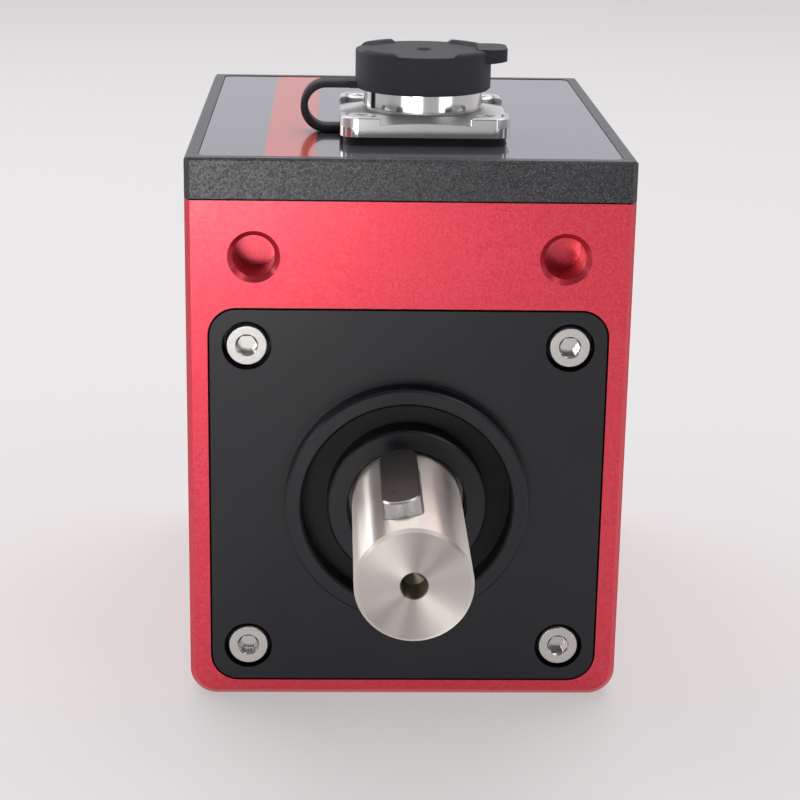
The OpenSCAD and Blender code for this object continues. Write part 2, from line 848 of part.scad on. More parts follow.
module connector_shell() {
    barrel_chamfer = 0.5;
    color(bright)
        difference() {
            union() {
                difference() {
                    at_connector(flange_z)
                        flange();
                    at_connector(relief_z)
                        rotate_extrude()
                            polygon([
                                [0, relief_depth - foot_depth], [foot_d / 2, relief_depth - foot_depth],
                                [relief_d / 2, 0], [relief_d / 2, flange_t], [0, flange_t]
                            ]);
                    at_connector(relief_z)
                        at_corners(flange_screw_pitch / 2, flange_screw_pitch / 2, 0)
                            cylinder(d = flange_head_d + 2 * hole_gap, h = flange_t);
                }
                at_connector(flange_z)
                    rotate_extrude()
                        polygon([
                            [0, shell_bottom - flange_z], [shell_d / 2, shell_bottom - flange_z],
                            [shell_d / 2, over], [barrel_d / 2 - neck_depth, over],
                            [barrel_d / 2 - neck_depth, foot_z + neck_h - flange_z],
                            [barrel_d / 2, foot_z + neck_h - flange_z],
                            [barrel_d / 2, barrel_top - flange_z - barrel_chamfer],
                            [barrel_d / 2 - barrel_chamfer, barrel_top - flange_z], [0, barrel_top - flange_z]
                        ]);
            }
            at_connector(shell_bottom - over)
                cylinder(d = insert_d + 2 * fit_gap, h = barrel_top - shell_bottom + 2 * over);
            at_connector(flange_z - over)
                at_corners(flange_screw_pitch / 2, flange_screw_pitch / 2, 0)
                    cylinder(d = small_screw_d + 2 * hole_gap, h = flange_t + 2 * over);
        }
}

// Low flat-headed screws with a cross, seated in the relief
module connector_screws() {
    r = small_screw_d / 2;
    head_r = flange_head_d / 2;
    edge = 0.2;
    slot_l = flange_head_d * 0.55;
    slot_w = flange_head_d * 0.14;
    slot_depth = flange_head_h * 0.55;
    color(bright)
        at_connector(relief_z)
            at_corners(flange_screw_pitch / 2, flange_screw_pitch / 2, 0)
                difference() {
                    rotate_extrude()
                        polygon([
                            [0, -flange_screw_l], [r, -flange_screw_l], [r, 0], [head_r, 0],
                            [head_r, flange_head_h - edge], [head_r - edge, flange_head_h], [0, flange_head_h]
                        ]);
                    for (a = [20, 110])
                        rotate([0, 0, a])
                            translate([-slot_l / 2, -slot_w / 2, flange_head_h - slot_depth])
                                cube([slot_l, slot_w, slot_depth + over]);
                }
}

module connector_insert() {
    color("#1c1c1e")
        difference() {
            at_connector(shell_bottom)
                cylinder(d = insert_d, h = insert_top - shell_bottom);
            at_contacts(shell_bottom - over)
                cylinder(d = contact_d + 2 * fit_gap, h = insert_top - shell_bottom + 2 * over);
        }
}

module connector_contacts() {
    socket_depth = 5;
    color(brass)
        at_contacts(contact_bottom)
            difference() {
                cylinder(d = contact_d, h = insert_top - contact_bottom);
                translate([0, 0, insert_top - contact_bottom - socket_depth])
                    cylinder(d = contact_socket_d, h = socket_depth + over);
            }
}

module connector_wires() {
    color("#b83a2e")
        at_contacts(board_top + wire_block_h)
            cylinder(d = wire_d, h = contact_bottom - board_top - wire_block_h);
}

// Flat strap from the gasket's edge, in a loop, up to the lug on the cap
module cap_strap() {
    color(rubber)
        at_connector(0) {
            translate([-strap_bend_x, -strap_w / 2, strap_low])
                cube([strap_bend_x - gasket_w / 2, strap_w, strap_t]);
            translate([-strap_bend_x, -strap_w / 2, cap_bottom])
                cube([strap_bend_x - lug_reach, strap_w, strap_t]);
            translate([-strap_bend_x, strap_w / 2, strap_low + strap_t / 2 + strap_bend_r])
                rotate([90, -90, 0])
                    rotate_extrude(angle = 180)
                        translate([strap_bend_r - strap_t / 2, 0])
                            square([strap_t, strap_w]);
        }
}

// Pull tab on the cap's right side, thin at its tip
module pull_tab() {
    top = cap_face + rim_h;
    root = cap_r - rim_w;
    intersection() {
        translate([0, tab_w / 2, 0])
            rotate([90, 0, 0])
                linear_extrude(tab_w)
                    polygon([
                        [root, top - tab_t * 1.25], [cap_r, top - tab_t * 1.15],
                        [tab_reach, top - tab_t], [tab_reach, top], [root, top]
                    ]);
        translate([0, 0, cap_bottom])
            linear_extrude(top) {
                square([2 * (tab_reach - tab_w / 4), tab_w], center = true);
                for (y = [-1, 1])
                    translate([tab_reach - tab_w / 4, y * tab_w / 4])
                        circle(tab_w / 4);
                square([2 * tab_reach, tab_w / 2], center = true);
            }
    }
}

// Dust cap: skirt, flat top, rim with four sloped notches, pull tab and strap lug
module connector_cap() {
    e = cap_edge_r;
    rim_in = cap_r - rim_w;
    rim_top = cap_face + rim_h;
    nub_r = 1.3;
    nub_h = 0.5;
    skirt_chamfer = 0.3;
    color(rubber)
        at_connector(0)
            difference() {
                union() {
                    difference() {
                        rotate_extrude()
                            polygon(concat(
                                [
                                    [0, cap_bottom], [cap_r - skirt_chamfer, cap_bottom],
                                    [cap_r, cap_bottom + skirt_chamfer]
                                ],
                                [for (a = [0 : 15 : 90]) [cap_r - e + e * cos(a), rim_top - e + e * sin(a)]],
                                [[rim_in + rim_h, rim_top], [rim_in, cap_face], [0, cap_face]]
                            ));
                        for (a = [0, 90])
                            rotate([0, 0, a])
                                translate([0, cap_d / 2 + over, 0])
                                    rotate([90, 0, 0])
                                        linear_extrude(cap_d + 2 * over)
                                            polygon([
                                                [-notch_w / 2, cap_face], [notch_w / 2, cap_face],
                                                [notch_w / 2 + 2 * notch_slope, rim_top + rim_h],
                                                [-notch_w / 2 - 2 * notch_slope, rim_top + rim_h]
                                            ]);
                    }
                    translate([0, 0, cap_face - over])
                        rotate_extrude()
                            polygon([
                                [0, 0], [nub_r, 0], [nub_r, over],
                                [nub_r * 0.7, over + nub_h * 0.8], [0, over + nub_h]
                            ]);
                    pull_tab();
                    translate([-lug_reach, -strap_w / 2, cap_bottom])
                        cube([lug_reach - cap_r + rim_w / 2, strap_w, strap_t]);
                }
                translate([0, 0, cap_bottom - over])
                    cylinder(r = barrel_d / 2 + cap_gap, h = cap_grip + over);
            }
}

module circuit_board() {
    color(green)
        difference() {
            translate([0, 0, board_z])
                linear_extrude(board_t)
                    rounded_rect(board_w, board_l, bay_corner_r / 2);
            at_corners(board_screw_x, board_screw_y, board_z - over)
                cylinder(d = small_screw_d + 2 * hole_gap, h = board_t + 2 * over);
        }
}

// Wire block under the connector, chips, a coil and capacitors on the board
module board_components() {
    block_w = contact_circle_d + 2 * contact_d;
    // Place and size of each chip as shares of the board, and its height as a share of the bay's depth
    chips = [
        [-0.25, 0.1, 0.25, 0.17, 0.1], [0.07, 0.21, 0.16, 0.12, 0.08],
        [-0.29, -0.14, 0.18, 0.17, 0.23], [0.07, 0.03, 0.12, 0.09, 0.07]
    ];
    cans = [[0.3, 0.21], [0.3, 0.03]];
    color("#202226") {
        at_connector(board_top)
            linear_extrude(wire_block_h)
                rounded_rect(block_w, block_w, contact_d / 2);
        for (c = chips)
            translate([(c[0] - c[2] / 2) * board_w, (c[1] - c[3] / 2) * board_l, board_top])
                cube([c[2] * board_w, c[3] * board_l, c[4] * bay_depth]);
        for (c = cans)
            translate([c[0] * board_w, c[1] * board_l, board_top])
                cylinder(d = board_w * 0.11, h = bay_depth * 0.36);
    }
}

module board_spacers() {
    color(brass)
        at_corners(board_screw_x, board_screw_y, bay_floor)
            difference() {
                cylinder(d = spacer_flats / cos(30), h = spacer_h, $fn = 6);
                translate([0, 0, -over])
                    cylinder(d = small_screw_d + 2 * hole_gap, h = spacer_h + 2 * over);
            }
}

module board_screws() {
    color(steel)
        at_corners(board_screw_x, board_screw_y, board_top)
            pan_screw(small_screw_d, board_screw_l, pan_head_d, pan_head_h);
}

module speed_pickup() {
    color("#30343a")
        translate([0, -speed_ring_y, 0])
            rotate_extrude()
                polygon([
                    [0, pickup_tip], [pickup_nose_d / 2, pickup_tip], [pickup_nose_d / 2, pickup_step],
                    [pickup_d / 2, pickup_step], [pickup_d / 2, board_z], [0, board_z]
                ]);
}

module stator_leads() {
    color(copper)
        for (s = [-1, 1], y = [-1, 1])
            translate([0, s * core_y + y * lead_pitch / 2, axis_h + stator_slot_r])
                cylinder(d = lead_d, h = board_z - axis_h - stator_slot_r);
}

module stator_core() {
    color(ferrite)
        difference() {
            on_axis(core_inner_y)
                ring(stator_in_r, chamber_d / 2 - fit_gap, core_w);
            on_axis(core_y - coil_w / 2)
                cylinder(r = stator_slot_r, h = coil_w);
            for (y = [-1, 1])
                translate([0, core_y + y * lead_pitch / 2, axis_h + stator_in_r])
                    cylinder(d = lead_d + 2 * hole_gap, h = chamber_d);
        }
}

module stator_coil() {
    color(copper)
        on_axis(core_y - coil_w / 2 + fit_gap)
            ring(stator_in_r + coil_sink, stator_slot_r - fit_gap, coil_w - 2 * fit_gap);
}

module rotor_core() {
    color(ferrite)
        difference() {
            on_axis(core_inner_y)
                ring(rotor_seat_r + fit_gap, rotor_r, core_w);
            on_axis(core_y - coil_w / 2)
                ring(rotor_slot_r, rotor_r + over, coil_w);
        }
}

module rotor_coil() {
    color(copper)
        on_axis(core_y - coil_w / 2 + fit_gap)
            ring(rotor_slot_r + fit_gap, rotor_r - coil_sink, coil_w - 2 * fit_gap);
}

module front_stator_core() {
    at_front()
        stator_core();
}

module rear_stator_core() {
    stator_core();
}

module front_stator_coil() {
    at_front()
        stator_coil();
}

module rear_stator_coil() {
    stator_coil();
}

module front_rotor_core() {
    at_front()
        rotor_core();
}

module rear_rotor_core() {
    rotor_core();
}

module front_rotor_coil() {
    at_front()
        rotor_coil();
}

module rear_rotor_coil() {
    rotor_coil();
}

// Race with chamfered edges and a round groove for the balls
module race(inner_r, outer_r) {
    c = 0.4;
    color(steel)
        on_axis(bearing_y)
            difference() {
                rotate_extrude()
                    polygon([
                        [inner_r, c], [inner_r + c, 0], [outer_r - c, 0], [outer_r, c],
                        [outer_r, bearing_w - c], [outer_r - c, bearing_w],
                        [inner_r + c, bearing_w], [inner_r, bearing_w - c]
                    ]);
                translate([0, 0, bearing_w / 2])
                    rotate_extrude()
                        translate([ball_circle_r, 0])
                            circle(ball_r + ball_gap);
            }
}

module bearing_outer_race() {
    race(ball_circle_r + race_gap, bearing_od / 2);
}

module bearing_inner_race() {
    race(seat_r + fit_gap, ball_circle_r - race_gap);
}

// Things drawn along Z, at every ball of the rear bearing and pointing outward
module at_balls() {
    on_axis(ball_y)
        for (i = [0 : ball_count - 1])
            rotate([0, 0, (i + 0.5) * 360 / ball_count])
                translate([ball_circle_r, 0, 0])
                    rotate([0, 90, 0])
                        children();
}

module balls() {
    color(bright)
        at_balls()
            sphere(ball_r);
}

module cage() {
    color(brass)
        difference() {
            on_axis(ball_y - cage_w / 2)
                ring(ball_circle_r - cage_t / 2, ball_circle_r + cage_t / 2, cage_w);
            at_balls()
                translate([0, 0, -cage_t])
                    cylinder(r = ball_r + cage_gap, h = 2 * cage_t);
        }
}

module circlip() {
    inner_r = seat_r - clip_depth + fit_gap;
    lug_r = 1.8;
    opening = 44;
    color("#4d5054")
        on_axis(pocket_y)
            difference() {
                union() {
                    rotate([0, 0, opening / 2])
                        rotate_extrude(angle = 360 - opening)
                            translate([inner_r, 0])
                                square([clip_w, clip_t]);
                    for (s = [-1, 1])
                        rotate([0, 0, s * opening / 2])
                            translate([inner_r + clip_w, 0, 0])
                                cylinder(r = lug_r, h = clip_t);
                }
                for (s = [-1, 1])
                    rotate([0, 0, s * opening / 2])
                        translate([inner_r + clip_w, 0, -over])
                            cylinder(r = lug_r * 0.42, h = clip_t + 2 * over);
                translate([0, 0, -over])
                    cylinder(r = inner_r, h = clip_t + 2 * over);
            }
}

module front_bearing_outer_race() {
    at_front()
        bearing_outer_race();
}

module rear_bearing_outer_race() {
    bearing_outer_race();
}

module front_bearing_inner_race() {
    at_front()
        bearing_inner_race();
}

module rear_bearing_inner_race() {
    bearing_inner_race();
}

module front_balls() {
    at_front()
        balls();
}

module rear_balls() {
    balls();
}

module front_cage() {
    at_front()
        cage();
}

module rear_cage() {
    cage();
}

module front_circlip() {
    at_front()
        circlip();
}

module rear_circlip() {
    circlip();
}

// Half of the shaft's outline, from the thin middle to the rear end
rear_half = concat(
    [for (a = [0 : 10 : 90]) [rotor_seat_r - gauge_fillet * cos(a), gauge_half + gauge_fillet * sin(a)]],
    [
        [rotor_seat_r, shoulder_y], [shoulder_d / 2, shoulder_y],
        [shoulder_d / 2, bearing_y], [seat_r, bearing_y],
        [seat_r, pocket_y], [seat_r - clip_depth, pocket_y],
        [seat_r - clip_depth, pocket_y + clip_t + fit_gap],
        [seat_r, pocket_y + clip_t + fit_gap], [seat_r, seat_end_y - shaft_chamfer],
        [seat_r - shaft_chamfer, seat_end_y], [shaft_r, seat_end_y], [shaft_r, shaft_end_y - shaft_chamfer],
        [shaft_r - shaft_chamfer, shaft_end_y], [0, shaft_end_y]
    ]
);
front_half = [for (i = [len(rear_half) - 1 : -1 : 0]) [rear_half[i][0], -rear_half[i][1]]];

// Things drawn above the shaft's middle, turned with the shaft and moved to the rear keyway
module at_rear_key() {
    translate([0, 0, axis_h])
        rotate([0, -key_angle, 0])
            translate([0, shaft_end_y - key_end - key_l / 2, shaft_r - key_depth])
                children();
}

module keyway_cut() {
    w = key_w + 2 * key_gap;
    at_rear_key() {
        translate([-w / 2, (key_w - key_l) / 2, 0])
            cube([w, key_l - key_w, shaft_r]);
        for (s = [-1, 1])
            translate([0, s * (key_l - key_w) / 2, 0])
                cylinder(d = w, h = shaft_r);
    }
}

module shaft_end_cut() {
    mouth = tap_d * 0.03;
    keyway_cut();
    translate([0, shaft_end_y, axis_h])
        rotate([90, 0, 0]) {
            drilled(tap_d, tap_depth);
            translate([0, 0, -over])
                cylinder(r1 = tap_d / 2 + mouth + over, r2 = tap_d / 2, h = mouth + over);
        }
}

module shaft() {
    color(steel)
        difference() {
            on_axis()
                rotate_extrude()
                    polygon(concat(front_half, rear_half));
            shaft_end_cut();
            at_front()
                shaft_end_cut();
        }
}

// Parallel key with round ends and a chamfer round its top
module key() {
    half = key_w / 2;
    c = 0.3;
    color("#77777a")
        at_rear_key() {
            translate([0, (key_l - key_w) / 2, 0])
                rotate([90, 0, 0])
                    linear_extrude(key_l - key_w)
                        polygon([
                            [-half, 0], [half, 0], [half, key_h - c],
                            [half - c, key_h], [c - half, key_h], [-half, key_h - c]
                        ]);
            for (s = [-1, 1])
                translate([0, s * (key_l - key_w) / 2, 0])
                    rotate_extrude()
                        polygon([[0, 0], [half, 0], [half, key_h - c], [half - c, key_h], [0, key_h]]);
        }
}

module front_key() {
    at_front()
        key();
}

module rear_key() {
    key();
}

module strain_gauges() {
    color("#c79a4a")
        on_axis(-gauge_patch_l / 2)
            for (i = [0 : gauge_count - 1])
                rotate([0, 0, i * 360 / gauge_count])
                    rotate_extrude(angle = gauge_patch_angle)
                        translate([gauge_r + fit_gap, 0])
                            square([gauge_patch_t, gauge_patch_l]);
}

module rotor_board() {
    color(green)
        on_axis(core_inner_y - rotor_spacing - board_t)
            ring(rotor_seat_r + fit_gap, rotor_board_d / 2, board_t);
}

module speed_ring() {
    outer_r = speed_ring_d / 2;
    root_r = outer_r - tooth_depth;
    pitch = 360 / tooth_count;
    tooth = [[-0.35, root_r], [-0.22, outer_r], [0.22, outer_r], [0.35, root_r]];
    color(steel)
        on_axis(-speed_ring_y - speed_ring_t / 2)
            difference() {
                linear_extrude(speed_ring_t)
                    polygon([
                        for (i = [0 : tooth_count - 1], p = tooth)
                            p[1] * [cos((i + p[0]) * pitch), sin((i + p[0]) * pitch)]
                    ]);
                translate([0, 0, -over])
                    cylinder(r = rotor_seat_r + fit_gap, h = speed_ring_t + 2 * over);
            }
}

housing();
lid();
lid_seal();
lid_screws();
label();
front_end_plate();
rear_end_plate();
front_plate_screws();
rear_plate_screws();
connector_gasket();
connector_shell();
connector_screws();
connector_insert();
connector_contacts();
connector_wires();
cap_strap();
connector_cap();
circuit_board();
board_components();
board_spacers();
board_screws();
speed_pickup();
stator_leads();
front_stator_core();
front_stator_coil();
rear_stator_core();
rear_stator_coil();
front_bearing_outer_race();
rear_bearing_outer_race();
shaft();
front_key();
rear_key();
front_bearing_inner_race();
rear_bearing_inner_race();
front_circlip();
rear_circlip();
front_rotor_core();
front_rotor_coil();
rear_rotor_core();
rear_rotor_coil();
strain_gauges();
rotor_board();
speed_ring();
front_balls();
front_cage();
rear_balls();
rear_cage();
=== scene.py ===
import json
import math

import bmesh
import bpy
from mathutils import Matrix, Vector


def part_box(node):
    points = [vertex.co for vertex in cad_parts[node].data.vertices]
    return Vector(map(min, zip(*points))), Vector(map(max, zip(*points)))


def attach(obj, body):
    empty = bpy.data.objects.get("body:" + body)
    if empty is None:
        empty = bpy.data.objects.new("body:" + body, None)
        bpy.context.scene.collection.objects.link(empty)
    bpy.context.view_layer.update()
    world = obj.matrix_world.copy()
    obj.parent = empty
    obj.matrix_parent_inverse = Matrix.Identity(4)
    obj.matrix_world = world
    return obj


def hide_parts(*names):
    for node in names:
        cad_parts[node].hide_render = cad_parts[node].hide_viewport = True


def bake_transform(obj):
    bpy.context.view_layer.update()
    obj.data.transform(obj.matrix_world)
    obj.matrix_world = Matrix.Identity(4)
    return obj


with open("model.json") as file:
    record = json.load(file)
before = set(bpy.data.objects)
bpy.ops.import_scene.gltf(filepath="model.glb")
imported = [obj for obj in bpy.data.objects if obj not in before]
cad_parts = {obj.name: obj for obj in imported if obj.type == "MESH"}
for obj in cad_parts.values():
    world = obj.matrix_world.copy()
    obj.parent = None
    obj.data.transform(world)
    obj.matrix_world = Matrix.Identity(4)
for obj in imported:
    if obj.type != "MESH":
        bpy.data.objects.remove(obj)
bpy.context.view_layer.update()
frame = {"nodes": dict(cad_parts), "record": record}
nodes = frame["nodes"]
scene = bpy.context.scene
scene.view_settings.view_transform = "Standard"
mm = 0.001
axisHeight = 35.2 * mm  # shaft axis above the base
print("frame loaded:", len(nodes), "nodes")


# camera: a fit to the photo's straight edges, place and lens in mm, clip in metres
photoCamera = {"at": (-12.3, -372.0, 151.9), "pitchDown": 16.958, "yaw": 1.935, "roll": 0.945,
               "lens": 94.13, "sensor": 36, "clip": (0.01, 20)}


def placeCamera(look):
    pitch, yaw, roll = (math.radians(look[k]) for k in ("pitchDown", "yaw", "roll"))
    ahead = Vector((math.sin(yaw) * math.cos(pitch), math.cos(yaw) * math.cos(pitch), -math.sin(pitch)))
    right = Vector((math.cos(yaw), -math.sin(yaw), 0))
    up = right.cross(ahead)
    right, up = right * math.cos(roll) + up * math.sin(roll), up * math.cos(roll) - right * math.sin(roll)
    camera = bpy.data.objects.new("photoCamera", bpy.data.cameras.new("photoCamera"))
    camera.data.lens = look["lens"]
    camera.data.sensor_width = look["sensor"]
    camera.data.clip_start, camera.data.clip_end = look["clip"]
    turn = Matrix((right, up, -ahead)).transposed().to_4x4()
    camera.matrix_world = Matrix.Translation(Vector(look["at"]) * mm) @ turn
    scene.collection.objects.link(camera)
    scene.camera = camera


placeCamera(photoCamera)


# material helpers
shaderSockets = {
    "colour": "Base Color", "rough": "Roughness", "metal": "Metallic", "ior": "IOR",
    "specular": "Specular IOR Level", "coat": "Coat Weight", "coatRough": "Coat Roughness",
    "coatIor": "Coat IOR", "anisotropy": "Anisotropic", "grooveTurn": "Anisotropic Rotation",
    "sheen": "Sheen Weight", "sheenRough": "Sheen Roughness",
}
noiseLow, noiseHigh = 0.3, 0.7  # nearly all of a noise pattern lies between these
bevelSamples = 4


def addNode(tree, kind, inputs=None, **settings):
    node = tree.nodes.new(kind)
    for key, value in settings.items():
        setattr(node, key, value)
    for key, value in (inputs or {}).items():
        if isinstance(value, bpy.types.NodeSocket):
            tree.links.new(value, node.inputs[key])
        else:
            node.inputs[key].default_value = value
    return node


def startMaterial(name, look):
    material = bpy.data.materials.new(name)
    material.use_nodes = True
    tree = material.node_tree
    shader = tree.nodes["Principled BSDF"]
    for key, socket in shaderSockets.items():
        if key in look:
            shader.inputs[socket].default_value = (*look[key], 1) if key == "colour" else look[key]
    return material, tree, shader


def objectPoint(tree):
    return addNode(tree, "ShaderNodeTexCoord").outputs["Object"]


def splitPoint(tree, point):
    return addNode(tree, "ShaderNodeSeparateXYZ", {0: point}).outputs


def movePoint(tree, point, by):
    return addNode(tree, "ShaderNodeVectorMath", {0: point, 1: by}, operation="ADD").outputs[0]


def axisDistance(tree, point):  # distance of a point from the shaft axis
    moved = movePoint(tree, point, (0, 0, -axisHeight))
    flat = addNode(tree, "ShaderNodeVectorMath", {0: moved, 1: (1, 0, 1)}, operation="MULTIPLY").outputs[0]
    return addNode(tree, "ShaderNodeVectorMath", {0: flat}, operation="LENGTH").outputs["Value"]


def calculate(tree, operation, a, b=0.0, c=0.0):
    return addNode(tree, "ShaderNodeMath", {0: a, 1: b, 2: c}, operation=operation).outputs[0]


def between(tree, value, low, high):  # 1 where the value lies from low to high, in mm
    return calculate(tree, "COMPARE", value, (low + high) / 2 * mm, (high - low) / 2 * mm)


def noise(tree, point, scale, detail, rough):
    values = {"Vector": point, "Scale": scale, "Detail": detail, "Roughness": rough}
    return addNode(tree, "ShaderNodeTexNoise", values).outputs["Fac"]


def lineNoise(tree, run, scale):
    values = {"W": run, "Scale": scale, "Detail": 2.0}
    return addNode(tree, "ShaderNodeTexNoise", values, noise_dimensions="1D").outputs["Fac"]


def stretch(tree, value, low, high, newLow, newHigh):
    values = {"Value": value, "From Min": low, "From Max": high, "To Min": newLow, "To Max": newHigh}
    return addNode(tree, "ShaderNodeMapRange", values).outputs["Result"]


def spread(tree, pattern, newLow, newHigh):
    return stretch(tree, pattern, noiseLow, noiseHigh, newLow, newHigh)


def mixColour(tree, factor, a, b):
    node = addNode(tree, "ShaderNodeMix", data_type="RGBA")
    for socket, value in ((node.inputs[0], factor), (node.inputs[6], a), (node.inputs[7], b)):
        if isinstance(value, bpy.types.NodeSocket):
            tree.links.new(value, socket)
        else:
            socket.default_value = (*value, 1)
    return node.outputs[2]


def addBump(tree, shader, height, strength, depth, edge=0.0):  # depth and edge in mm
    bump = addNode(tree, "ShaderNodeBump", {"Height": height, "Strength": strength, "Distance": depth * mm})
    if edge:  # sharp edges are broken by a small radius
        rounded = addNode(tree, "ShaderNodeBevel", {"Radius": edge * mm}, samples=bevelSamples)
        tree.links.new(rounded.outputs["Normal"], bump.inputs["Normal"])
    tree.links.new(bump.outputs["Normal"], shader.inputs["Normal"])


# bead-blasted and anodised: fine pits, paler and darker grains, slow clouding
blastedLook = {"speckScale": 1.7, "speckTo": 0.8, "cloud": 45, "cloudShare": 0.18, "roughSpread": 0.06,
               "fleckFrom": 0.42, "fleckTo": 0.58, "pitDepth": 0.06, "edge": 0.15}


def blastedMetal(name, look):
    material, tree, shader = startMaterial(name, look)
    point = objectPoint(tree)
    grain = noise(tree, point, look["grain"], detail=3.0, rough=0.65)
    speck = noise(tree, point, look["grain"] * look["speckScale"], detail=1.0, rough=0.5)
    cloud = noise(tree, point, look["cloud"], detail=3.0, rough=0.5)
    base = mixColour(tree, spread(tree, grain, 0, 1), look["dark"], look["colour"])
    base = mixColour(tree, stretch(tree, speck, look["speckFrom"], look["speckTo"], 0, 1), base, look["pale"])
    base = mixColour(tree, spread(tree, cloud, 0, look["cloudShare"]), base, look["dark"])
    tree.links.new(base, shader.inputs["Base Color"])
    rough = spread(tree, grain, look["rough"] - look["roughSpread"], look["rough"] + look["roughSpread"])
    tree.links.new(rough, shader.inputs["Roughness"])
    dull, bright = look["coat"] * (1 - look["fleck"]), look["coat"] * (1 + look["fleck"])
    shine = stretch(tree, grain, look["fleckFrom"], look["fleckTo"], dull, bright)
    tree.links.new(shine, shader.inputs["Coat Weight"])  # pits shine less than the grains between them
    addBump(tree, shader, grain, look["pits"], look["pitDepth"], look["edge"])
    return material


# turned steel: marks run round the shaft on its sides and in rings on its ends, the sides are ground
# smoother, the centre hole darkened with painted shade
steelLook = {
    "colour": (0.82, 0.765, 0.71), "dark": (0.74, 0.69, 0.635), "metal": 1.0, "anisotropy": 1.0,
    "grooveTurn": 0.25, "rough": 0.50, "sideRough": 0.36, "roughSpread": 0.03, "endFrom": 83.2,
    "marks": 9000, "cut": 0.07, "cutDepth": 0.01, "cloud": 120, "cloudFrom": 0.35, "cloudTo": 0.65,
    # the hole colour is painted shade: the shaft's centre hole is darker than the steel round it
    "cloudShare": 0.25, "hole": (0.24, 0.22, 0.16), "holeRadius": 2.15,
}


def turnedMetal(name, look):
    material, tree, shader = startMaterial(name, look)
    point = objectPoint(tree)
    y, fromAxis = splitPoint(tree, point)["Y"], axisDistance(tree, point)
    marks = lineNoise(tree, calculate(tree, "ADD", fromAxis, y), look["marks"])
    cloud = noise(tree, point, look["cloud"], detail=2.0, rough=0.5)
    clouding = stretch(tree, cloud, look["cloudFrom"], look["cloudTo"], 0, look["cloudShare"])
    base = mixColour(tree, spread(tree, marks, 0, 1), look["dark"], look["colour"])
    base = mixColour(tree, clouding, base, look["dark"])
    holeShadeMask = calculate(tree, "LESS_THAN", fromAxis, look["holeRadius"] * mm)  # painted shade in the centre hole
    tree.links.new(mixColour(tree, holeShadeMask, base, look["hole"]), shader.inputs["Base Color"])
    onEnd = calculate(tree, "GREATER_THAN", calculate(tree, "ABSOLUTE", y), look["endFrom"] * mm)
    rough = stretch(tree, onEnd, 0, 1, look["sideRough"], look["rough"])
    rough = calculate(tree, "ADD", rough, spread(tree, cloud, -look["roughSpread"], look["roughSpread"]))
    tree.links.new(rough, shader.inputs["Roughness"])
    addBump(tree, shader, marks, look["cut"], look["cutDepth"])
    tangent = addNode(tree, "ShaderNodeTangent", direction_type="RADIAL", axis="Y")
    tree.links.new(tangent.outputs[0], shader.inputs["Tangent"])
    return material


# satin machined face: faint rings about the shaft axis on a smooth black ground, the ring groove rougher as
# cut and darkened with painted shade
plateLook = {
    "colour": (0.0048, 0.0052, 0.0092), "dark": (0.0034, 0.0038, 0.0072), "rough": 0.34, "roughSpread": 0.04,
    "ior": 1.46, "rings": 5200, "fine": 5200, "fineShare": 0.6, "cut": 0.12, "cutDepth": 0.02, "edge": 0.22,
    "cloud": 70, "groove": (0.0020, 0.0022, 0.0032), "grooveRough": 0.6, "grooveFrom": 13.2, "grooveTo": 17.1,
}


def machinedBlack(name, look):
    material, tree, shader = startMaterial(name, look)
    point = objectPoint(tree)
    fromAxis = axisDistance(tree, point)
    rings = lineNoise(tree, fromAxis, look["rings"])
    cloud = noise(tree, point, look["cloud"], detail=3.0, rough=0.55)
    fine = noise(tree, point, look["fine"], detail=2.0, rough=0.5)
    base = mixColour(tree, spread(tree, cloud, 0, 1), look["dark"], look["colour"])
    # painted shade: the ring groove's colour is made darker, where shade falls in it; its roughness is raised
    # as cut
    inGroove = between(tree, fromAxis, look["grooveFrom"], look["grooveTo"])
    tree.links.new(mixColour(tree, inGroove, base, look["groove"]), shader.inputs["Base Color"])
    rough = spread(tree, cloud, look["rough"] - look["roughSpread"], look["rough"] + look["roughSpread"])
    rough = calculate(tree, "MULTIPLY_ADD", inGroove, look["grooveRough"] - look["rough"], rough)
    tree.links.new(rough, shader.inputs["Roughness"])
    height = calculate(tree, "ADD", rings, calculate(tree, "MULTIPLY", fine, look["fineShare"]))
    addBump(tree, shader, height, look["cut"], look["cutDepth"], look["edge"])
    return material


# plain finish with fine grain and slow clouding, for rubber, plastic, screws and the inner pieces
grainedLook = {"cloud": 90, "roughSpread": 0.04, "pitDepth": 0.03, "edge": 0.0}


def grainedFinish(name, look):
    material, tree, shader = startMaterial(name, look)
    point = objectPoint(tree)
    fine = noise(tree, point, look["grain"], detail=2.0, rough=0.55)
    cloud = noise(tree, point, look["cloud"], detail=3.0, rough=0.5)
    base = mixColour(tree, spread(tree, cloud, 0, 1), look["dark"], look["colour"])
    tree.links.new(base, shader.inputs["Base Color"])
    rough = spread(tree, fine, look["rough"] - look["roughSpread"], look["rough"] + look["roughSpread"])
    tree.links.new(rough, shader.inputs["Roughness"])
    addBump(tree, shader, fine, look["pits"], look["pitDepth"], look["edge"])
    return material


# bright plating, smooth on the barrel and edges, left matt where the flange is turned away round the barrel
shellLook = {
    "colour": (0.60, 0.595, 0.60), "dark": (0.55, 0.545, 0.55), "metal": 1.0, "rough": 0.12, "cloud": 90,
    "grain": 1800, "pits": 0.03, "pitDepth": 0.03, "edge": 0.12,
    "reliefReach": 13.9, "reliefFrom": 94.8, "reliefTo": 96.6, "reliefRough": 0.42,
}


